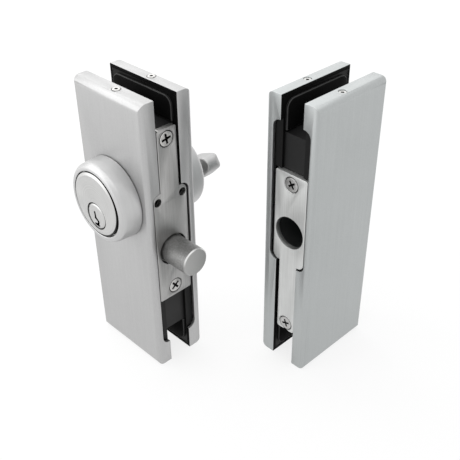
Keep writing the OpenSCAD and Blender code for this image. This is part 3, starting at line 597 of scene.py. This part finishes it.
# Screws set out on points, each with its own turn
def screwTree():
    tree, given = startTree("screwsOnPoints", {"Points": "Geometry", "Screw": "Object", "Finish": "Material",
                                               "Socket": "Material"})
    screw = addNode(tree, "GeometryNodeObjectInfo", {"Object": given["Screw"]})
    turn = addNode(tree, "GeometryNodeInputNamedAttribute", {"Name": "turn"}, data_type="FLOAT_VECTOR")
    placed = addNode(tree, "GeometryNodeInstanceOnPoints", {
        "Points": given["Points"], "Instance": screw.outputs["Geometry"], "Rotation": turn.outputs[0]})
    # The marked faces take the socket material, as painted shade
    oily = addNode(tree, "GeometryNodeInputNamedAttribute", {"Name": "oily"}, data_type="FLOAT")
    real = addNode(tree, "GeometryNodeRealizeInstances", {"Geometry": placed.outputs[0]})
    bare = addNode(tree, "GeometryNodeSetMaterial", {"Geometry": real.outputs[0], "Material": given["Finish"]})
    dressed = addNode(tree, "GeometryNodeSetMaterial", {
        "Geometry": bare.outputs[0], "Selection": oily.outputs[0], "Material": given["Socket"]})
    addNode(tree, "NodeGroupOutput", {"Geometry": dressed.outputs[0]})
    return tree


def pointMesh(name, places):
    mesh = bpy.data.meshes.new(name)
    mesh.from_pydata([place for place, turn in places], [], [])
    turns = mesh.attributes.new("turn", "FLOAT_VECTOR", "POINT")
    for i, (place, turn) in enumerate(places):
        turns.data[i].vector = turn
    return mesh


# turnsDeg are the screws' turns about their own axes, as they were last tightened
def setOutScrews(name, shape, spots, values, material, *nodes):
    places, turnsDeg = [], values["turnsDeg"]
    for i, (place, facing) in enumerate(spots):
        turn = Matrix.Rotation(math.radians(turnsDeg[i % len(turnsDeg)]), 3, "Z")
        places.append((place, (facing.to_track_quat("Z", "Y").to_matrix() @ turn).to_euler()))
    piece = growPiece(name, screwTree(), pointMesh(name, places),
                      {"Screw": shape, "Finish": material, "Socket": socketShade})
    bpy.data.objects.remove(shape)
    handOver(piece, "housings", "screw_steel", *nodes)
    print(name, "set out:", len(spots))


setOutScrews("crossHeadScrews", crossHeadShape(crossHead), screwSpots("lock_plate_screws", 0, 1, crossHead["headMm"]),
             crossHead, screwMetal, "lock_plate_screws")
setOutScrews("strikeCrossScrews", crossHeadShape(strikeHead),
             screwSpots("strike_plate_screws", 1, -1, strikeHead["headMm"]), strikeHead, dullScrewMetal,
             "strike_plate_screws")
grubSpots = [spot for node in ("cover_screws", "strike_cover_screws") for way in (1, -1)
             for spot in screwSpots(node, 2, way, grubScrew["radiusMm"])]
setOutScrews("coverGrubScrews", hexSocketShape("grubShape", grubScrew, socketForm), grubSpots, grubScrew, screwMetal,
             "cover_screws", "strike_cover_screws")
setOutScrews("plateSetScrews", hexSocketShape("setScrewShape", setScrew, socketForm),
             screwSpots("set_screws", 0, 1, setScrew["radiusMm"]), setScrew, setScrewMetal, "set_screws")
clampSpots = (screwSpots("clamp_screws", 1, -1, capScrew["radiusMm"])
              + screwSpots("strike_clamp_screws", 0, -1, capScrew["radiusMm"]))
setOutScrews("clampCapScrews", hexSocketShape("capScrewShape", capScrew, socketForm), clampSpots, capScrew,
             screwMetal, "clamp_screws", "strike_clamp_screws")

# Pin springs: wound wire over the driver pins, closed at both ends
pinSpring = {"Turns": 7.0, "Coil radius": 1.08 * mm, "Wire radius": 0.19 * mm}
pinCount, springSharpDeg = 5, 60


def springTree():
    tree, given = startTree("woundSprings", {"Points": "Geometry", "Turns": "Float", "Coil radius": "Float",
                                             "Wire radius": "Float", "Height": "Float", "Finish": "Material"})
    helix = addNode(tree, "GeometryNodeCurveSpiral", {
        "Resolution": 20, "Rotations": given["Turns"], "Height": given["Height"],
        "Start Radius": given["Coil radius"], "End Radius": given["Coil radius"]})
    wire = addNode(tree, "GeometryNodeCurvePrimitiveCircle", {"Resolution": 8, "Radius": given["Wire radius"]})
    tube = addNode(tree, "GeometryNodeCurveToMesh", {"Curve": helix.outputs[0], "Profile Curve": wire.outputs[0],
                                                     "Fill Caps": True})
    placed = addNode(tree, "GeometryNodeInstanceOnPoints", {"Points": given["Points"], "Instance": tube.outputs[0]})
    return finishTree(tree, placed.outputs[0], given["Finish"])


# The springs stand on the driver pins, which are as deep as they are wide and evenly spaced
springLow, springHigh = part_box("pin_springs")
pinLow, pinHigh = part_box("driver_pins")
pinWidth = pinHigh.x - pinLow.x
pinStep = (pinHigh.y - pinLow.y - pinWidth) / (pinCount - 1)
wireRadius = pinSpring["Wire radius"]
springPoints = [(((springLow.x + springHigh.x) / 2, pinLow.y + pinWidth / 2 + i * pinStep, springLow.z + wireRadius),
                 (0, 0, 0)) for i in range(pinCount)]
springs = growPiece("woundPinSprings", springTree(), pointMesh("woundPinSprings", springPoints),
                    {**pinSpring, "Height": springHigh.z - springLow.z - 2 * wireRadius, "Finish": springMetal},
                    springSharpDeg)
handOver(springs, "housings", "screw_steel", "pin_springs")
print("springs wound:", len(springPoints))

# Collars: a turned ring, its profile given corner by corner with the rounding of each
collarRing = {"frontRadiusMm": 21.9, "frontRoundMm": 3.6, "recessRadiusMm": 18.45, "recessFloorMm": 10.1,
              "recessRoundMm": 0.2, "boreRadiusMm": 14.7, "boreRoundMm": 0.3, "boreFootMm": 0.1, "lipMm": 0.5,
              "footMm": 0.6, "segments": 144, "cornerSteps": 7, "weldMm": 0.0005}


# The ring's profile, one point for each corner: x is the radius, y the height, and "soft" the corner's rounding
def ringProfile(name, corners):
    mesh = bpy.data.meshes.new(name)
    mesh.from_pydata([(radius * mm, height * mm, 0) for radius, height, soft in corners],
                     [(i, (i + 1) % len(corners)) for i in range(len(corners))], [])
    soft = mesh.attributes.new("soft", "FLOAT", "POINT")
    for i, corner in enumerate(corners):
        soft.data[i].value = corner[2] * mm
    return mesh


# The profile is swept round a circle of 1 mm, and moved in by as much
def ringTree():
    tree, given = startTree("turnedRing", {"Profile": "Geometry", "Segments": "Int", "Corner steps": "Int",
                                           "Centre": "Vector", "Turn": "Rotation", "Finish": "Material"})
    loop = addNode(tree, "GeometryNodeMeshToCurve", {"Mesh": given["Profile"]})
    soft = addNode(tree, "GeometryNodeInputNamedAttribute", {"Name": "soft"}, data_type="FLOAT")
    rounded = addNode(tree, "GeometryNodeFilletCurve", {
        "Curve": loop.outputs[0], "Count": given["Corner steps"], "Radius": soft.outputs[0], "Limit Radius": True},
        mode="POLY")
    inward = addNode(tree, "GeometryNodeTransform", {"Geometry": rounded.outputs[0], "Translation": (-1 * mm, 0, 0)})
    circle = addNode(tree, "GeometryNodeCurvePrimitiveCircle", {"Resolution": given["Segments"], "Radius": 1 * mm})
    level = addNode(tree, "GeometryNodeSetCurveNormal", {"Curve": circle.outputs[0]}, mode="Z_UP")
    turned = addNode(tree, "GeometryNodeCurveToMesh", {"Curve": level.outputs[0], "Profile Curve": inward.outputs[0]})
    placed = addNode(tree, "GeometryNodeTransform", {"Geometry": turned.outputs[0], "Translation": given["Centre"],
                                                     "Rotation": given["Turn"]})
    return finishTree(tree, placed.outputs[0], given["Finish"])


# way is the side of the door that the collar faces along Y
def turnCollar(name, node, way, tree, values):
    low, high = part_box(node)
    base, height, foot = high.y if way < 0 else low.y, (high.y - low.y) / mm, (high.x - low.x) / 2 / mm
    recess, floor, bore = values["recessRadiusMm"], values["recessFloorMm"], values["boreRadiusMm"]
    profile = ringProfile(name, [
        (foot, 0, values["footMm"]), (values["frontRadiusMm"], height, values["frontRoundMm"]),
        (recess, height, values["lipMm"]), (recess, floor, values["recessRoundMm"]),
        (bore, floor, values["boreRoundMm"]), (bore, 0, values["boreFootMm"])])
    piece = growPiece(name, tree, profile, {
        "Segments": values["segments"], "Corner steps": values["cornerSteps"],
        "Centre": ((low.x + high.x) / 2, base, (low.z + high.z) / 2),
        "Turn": (math.radians(90 * way), 0, 0), "Finish": collarMetal})
    weld(piece.data, values["weldMm"], outward=True)
    handOver(piece, "housings", "satin_collar", node)


collarTree = ringTree()
turnCollar("keyCollar", "cylinder_collar", -1, collarTree, collarRing)
turnCollar("thumbCollar", "turn_collar", 1, collarTree, collarRing)
print("collars turned")

# Plug: the CAD shape with a cone turned round its face. headCone does the same for the head, less deep for its size
plugCone = {"fromMm": 6.2, "toMm": 8.2, "slope": 0.55, "segments": 96, "overlapMm": 0.1, "frontMm": 0.7,
            "sharpDeg": 15}
headCone = {**plugCone, "fromMm": 16.4, "toMm": 18.6, "slope": 0.5, "segments": 144, "sharpDeg": 8}
# Its key mouth is opened by wear into a wider notch at the foot of the keyway, across and up from the plug's axis
keyMouth = {"depthMm": 1.6, "frontMm": 1, "outlineMm": [(-1.9, -4.7), (-0.4, -4.3), (1.6, -4.4), (2.5, -5.0),
                                                        (2.2, -5.8), (-1.0, -5.9), (-1.9, -5.5)]}


# Skins rows of closed rings of points. Each row has its ends closed, or is joined up into a ring itself
def loftPiece(name, rows, joined=False):
    work = bmesh.new()
    for rings in rows:
        loops = [[work.verts.new(p) for p in ring] for ring in rings]
        for lower, upper in zip([loops[-1]] + loops, loops) if joined else zip(loops, loops[1:]):
            for i in range(len(lower)):
                work.faces.new((lower[i - 1], lower[i], upper[i], upper[i - 1]))
        if not joined:
            work.faces.new(loops[0])
            work.faces.new(loops[-1])
    bmesh.ops.recalc_face_normals(work, faces=work.faces)
    return pieceFrom(name, work)


# A ring whose inner side is a cone round an axis along Y, as a turning tool would sweep it into a face
def coneCutter(name, axis, face, values):
    start, outer, slope = values["fromMm"], values["toMm"], values["slope"]
    inner, front = start - values["overlapMm"], -values["frontMm"]
    profile = [(inner, (inner - start) * slope), (outer, (outer - start) * slope), (outer, front), (inner, front)]
    turns = [i * math.tau / values["segments"] for i in range(values["segments"])]
    return loftPiece(name, [[[(axis.x + r * math.cos(a) * mm, face + y * mm, axis.z + r * math.sin(a) * mm)
                              for a in turns] for r, y in profile]], joined=True)


def mouthCutter(name, axis, face, values):
    return loftPiece(name, [[[(axis.x + x * mm, face + y * mm, axis.z + z * mm) for x, z in values["outlineMm"]]
                             for y in (-values["frontMm"], values["depthMm"])]])


plug = copyNode("wornPlug", "cylinder_plug", plugMetal)
cutAway(plug, [mouthCutter("keyMouthCut", plugAxis, plugLow.y, keyMouth),
               coneCutter("plugConeCut", plugAxis, plugLow.y, plugCone)], plugCone["sharpDeg"])
handOver(plug, "key_group", "satin_cylinder", "cylinder_plug")
head = copyNode("turnedHead", "cylinder_shell", headMetal)
cutAway(head, [coneCutter("headConeCut", cylinderAxis, shellLow.y, headCone)], headCone["sharpDeg"])
handOver(head, "housings", "satin_cylinder", "cylinder_shell")
print("plug and head turned, key mouth worn")

# Thumb turn: a boat-shaped grip on a round neck, cast in one and smoothed where they meet. neckMm, footMm, postMm and
# pinMm are radii, and waistMm says how soon the grip starts to narrow from its middle
thumbTurn = {"angleDeg": 34, "lengthMm": 31, "middleMm": 15, "endMm": 7.4, "waistMm": 3.5, "thinnestMm": 0.12,
             "endRoundMm": 3.6, "tipRoundMm": 4.2, "depthMm": 10.4, "edgeMm": 1.5, "underEdgeMm": 1.1, "neckMm": 5,
             "neckFlareMm": 0.5, "footMm": 6.4, "footEdgeMm": 0.3, "footRiseMm": 1.6, "postMm": 2.62,
             "postDepthMm": 5.6, "pinMm": 1.02, "pinRunMm": 20, "stations": 56, "cornerSteps": 8, "neckSegments": 64,
             "boreSegments": 48, "voxelMm": 0.36, "smoothing": 0.5, "smoothingRounds": 6, "sharpDeg": 40}


# How far a rounded corner has come in at a distance from its end
def cornerDrop(fromEnd, radius):
    return radius - math.sqrt(max(0, radius ** 2 - (radius - fromEnd) ** 2)) if fromEnd < radius else 0


# One section across the grip: a rounded rectangle between its underside and its tip face
def gripSection(half, under, tip, values):
    outer, inner = min(values["edgeMm"], 0.9 * half), min(values["underEdgeMm"], 0.9 * half)
    points = []
    for cx, cy, radius, start in ((half, tip, outer, 0), (-half, tip, outer, 90), (-half, under, inner, 180),
                                  (half, under, inner, 270)):
        px, py = cx - math.copysign(radius, cx), cy + (-radius if cy == tip else radius)
        for i in range(values["cornerSteps"] + 1):
            a = math.radians(start + i * 90 / values["cornerSteps"])
            points.append((px + radius * math.cos(a), py + radius * math.sin(a)))
    return points


# The grip's sections as pairs of a place along it and an outline, closer together toward its ends
def gripStations(under, tip, values):
    halfLength, waist, middle = values["lengthMm"] / 2, values["waistMm"], values["middleMm"]
    stations = []
    for i in range(values["stations"] + 1):
        s = halfLength * math.sin(math.pi * (i / values["stations"] - 0.5)) * 0.9995  # the ends keep a sliver of face
        fromEnd = halfLength - abs(s)
        run = math.hypot(s, waist) / math.hypot(halfLength, waist)
        side = (middle - (middle - values["endMm"]) * run) / 2
        half = max(values["thinnestMm"], side - cornerDrop(fromEnd, values["endRoundMm"]) * side / values["endRoundMm"])
        stations.append((s, gripSection(half, under, tip - cornerDrop(fromEnd, values["tipRoundMm"]), values)))
    return stations


# A round bar that bores a hole from start along way
def boreCutter(name, radiusMm, start, way, reachMm, segments):
    work = bmesh.new()
    bmesh.ops.create_cone(work, cap_ends=True, segments=segments, radius1=radiusMm * mm, radius2=radiusMm * mm,
                          depth=reachMm * mm)
    turned = way.to_track_quat("Z", "Y").to_matrix().to_4x4()
    work.transform(Matrix.Translation(start + way * reachMm / 2 * mm) @ turned)
    return pieceFrom(name, work)


def buildThumbTurn(values):
    low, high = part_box("thumb_turn")
    turn = math.radians(values["angleDeg"])
    along, across = Vector((math.cos(turn), 0, math.sin(turn))), Vector((-math.sin(turn), 0, math.cos(turn)))
    out = Vector((0, 1, 0))
    axis = Vector((plugAxis.x, 0, plugAxis.z))
    face, tip = low.y / mm, high.y / mm
    under = tip - values["depthMm"]
    grip = [[axis + along * s * mm + across * x * mm + out * y * mm for x, y in section]
            for s, section in gripStations(under, tip, values)]
    foot, thick, thin = values["footMm"], values["neckMm"] + values["neckFlareMm"], values["neckMm"]
    profile = [(foot, face), (foot, face + values["footEdgeMm"]), (thin, face + values["footRiseMm"]),
               (thin, under - 0.6), (thick, under + 0.3), (thick, under + 2)]  # it flares and ends inside the grip
    turns = [i * math.tau / values["neckSegments"] for i in range(values["neckSegments"])]
    neck = [[axis + (along * math.cos(a) + across * math.sin(a)) * r * mm + out * y * mm for a in turns]
            for r, y in profile]
    piece = loftPiece("castThumbTurn", [grip, neck])
    piece.data.materials.append(turnMetal)
    skin = piece.modifiers.new("castSkin", "REMESH")
    skin.mode = "VOXEL"
    skin.voxel_size = values["voxelMm"] * mm
    blend = piece.modifiers.new("blendedCorners", "SMOOTH")
    blend.factor, blend.iterations = values["smoothing"], values["smoothingRounds"]
    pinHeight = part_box("turn_pin")[0].y + mm  # the cross pin's box starts 1 mm under its middle
    cutAway(piece, [
        boreCutter("postBore", values["postMm"], axis + out * (low.y - mm), out, values["postDepthMm"] + 1,
                   values["boreSegments"]),
        boreCutter("pinBore", values["pinMm"], axis + out * pinHeight - across * values["pinRunMm"] / 2 * mm, across,
                   values["pinRunMm"], values["boreSegments"])], values["sharpDeg"])
    handOver(piece, "turn_group", "satin_cylinder", "thumb_turn")
    print("thumb turn cast with", len(piece.data.polygons), "faces")


buildThumbTurn(thumbTurn)

# Studio: pale floor, soft lights and white surroundings. The floor glows a little where it is seen, and fully from
# glowTo metres out, and keeps a share of its shading for the shadow
studio = {"floorSize": 6, "floorColour": "#e9e9e9", "shadowShare": 0.22, "floorGlow": 0.8, "glowFrom": 0.4,
          "glowTo": 1.2, "ambient": 0.6, "lightTarget": (0.0, 0.0, 0.08)}
studioLights = {
    "keyLight": {"place": (-0.6, -0.75, 0.5), "size": 1.0, "power": 3.8},
    "leftLight": {"place": (-0.9, -0.1, 0.95), "size": 1.1, "power": 2.8},
    "backLight": {"place": (-0.65, 0.65, 0.7), "size": 1.3, "power": 3.0},
    "topLight": {"place": (0.1, -0.1, 1.0), "size": 1.0, "power": 2.0}}


# 1 for the rays that show the surroundings, straight or mirrored, and 0 for the light that they give
def seenRays(tree):
    path = addNode(tree, "ShaderNodeLightPath")
    seen = addNode(tree, "ShaderNodeMath", {0: path.outputs["Is Camera Ray"], 1: path.outputs["Is Glossy Ray"]},
                   operation="MAXIMUM")
    return addNode(tree, "ShaderNodeMath", {0: seen.outputs[0], 1: path.outputs["Is Transmission Ray"]},
                   operation="MAXIMUM").outputs[0]


def studioFloor(values):
    bpy.ops.mesh.primitive_plane_add(size=values["floorSize"], location=(0, 0, 0))
    floor = bpy.context.object
    floor.name = "studioFloor"
    material, tree, place = startMaterial("paleFloor")
    share = values["shadowShare"]
    paper = addNode(tree, "ShaderNodeBsdfDiffuse", {"Color": linear(values["floorColour"])})
    away = addNode(tree, "ShaderNodeVectorMath", {0: place}, operation="LENGTH")
    fading = addNode(tree, "ShaderNodeMapRange", {
        "Value": away.outputs["Value"], "From Min": values["glowFrom"], "From Max": values["glowTo"],
        "To Min": values["floorGlow"], "To Max": 1.0})
    glow = addNode(tree, "ShaderNodeEmission", {"Color": (1, 1, 1, 1), "Strength": fading.outputs[0]})
    shade = addNode(tree, "ShaderNodeBsdfDiffuse", {"Color": (share, share, share, 1)})
    both = addNode(tree, "ShaderNodeAddShader", {0: shade.outputs[0], 1: glow.outputs[0]})
    pick = addNode(tree, "ShaderNodeMixShader", {0: seenRays(tree), 1: paper.outputs[0], 2: both.outputs[0]})
    addNode(tree, "ShaderNodeOutputMaterial", {"Surface": pick.outputs[0]})
    floor.data.materials.append(material)


def studioWorld(values):
    world = bpy.data.worlds.new("paleStudio")
    bpy.context.scene.world = world
    world.use_nodes = True
    tree = world.node_tree
    tree.nodes.clear()
    strength = addNode(tree, "ShaderNodeMapRange", {"Value": seenRays(tree), "To Min": values["ambient"],
                                                    "To Max": 1.0})
    light = addNode(tree, "ShaderNodeBackground", {"Color": (1, 1, 1, 1), "Strength": strength.outputs[0]})
    addNode(tree, "ShaderNodeOutputWorld", {"Surface": light.outputs[0]})


def softLight(name, target, values):
    light = bpy.data.lights.new(name, "AREA")
    light.shape, light.size, light.energy = "SQUARE", values["size"], values["power"]
    lamp = bpy.data.objects.new(name, light)
    bpy.context.scene.collection.objects.link(lamp)
    lamp.location = values["place"]
    lamp.rotation_euler = (Vector(values["place"]) - Vector(target)).to_track_quat("Z", "Y").to_euler()


studioFloor(studio)
studioWorld(studio)
for name, values in studioLights.items():
    softLight(name, studio["lightTarget"], values)
print("studio lit by", len(studioLights), "soft lights")

# The photograph's camera, as a pinhole fitted to the corners of both housings
photoView = {"azimuth": 45.75, "elevation": 34.45, "roll": -0.57, "distanceMm": 415.5, "targetMm": (5.55, 0.65, 77.7),
             "focalPixels": 750, "imagePixels": 460, "sensorMm": 36, "clipStart": 0.01}


def placeCamera(values):
    turn, rise, roll = (math.radians(values[k]) for k in ("azimuth", "elevation", "roll"))
    back = Vector((math.sin(turn) * math.cos(rise), -math.cos(turn) * math.cos(rise), math.sin(rise)))
    right = Vector((math.cos(turn), math.sin(turn), 0))
    up = back.cross(right)
    side = right * math.cos(roll) + up * math.sin(roll)
    top = up * math.cos(roll) - right * math.sin(roll)
    camera = bpy.data.cameras.new("photoCamera")
    camera.sensor_fit = "HORIZONTAL"
    camera.sensor_width = values["sensorMm"]
    camera.lens = values["focalPixels"] / values["imagePixels"] * values["sensorMm"]
    camera.clip_start = values["clipStart"]
    cameraObject = bpy.data.objects.new("photoCamera", camera)
    bpy.context.scene.collection.objects.link(cameraObject)
    cameraObject.matrix_world = Matrix((side, top, back)).transposed().to_4x4()
    cameraObject.location = Vector(values["targetMm"]) * mm + back * values["distanceMm"] * mm
    bpy.context.scene.camera = cameraObject


placeCamera(photoView)
bpy.context.scene.view_settings.view_transform = "Standard"
print("camera placed")
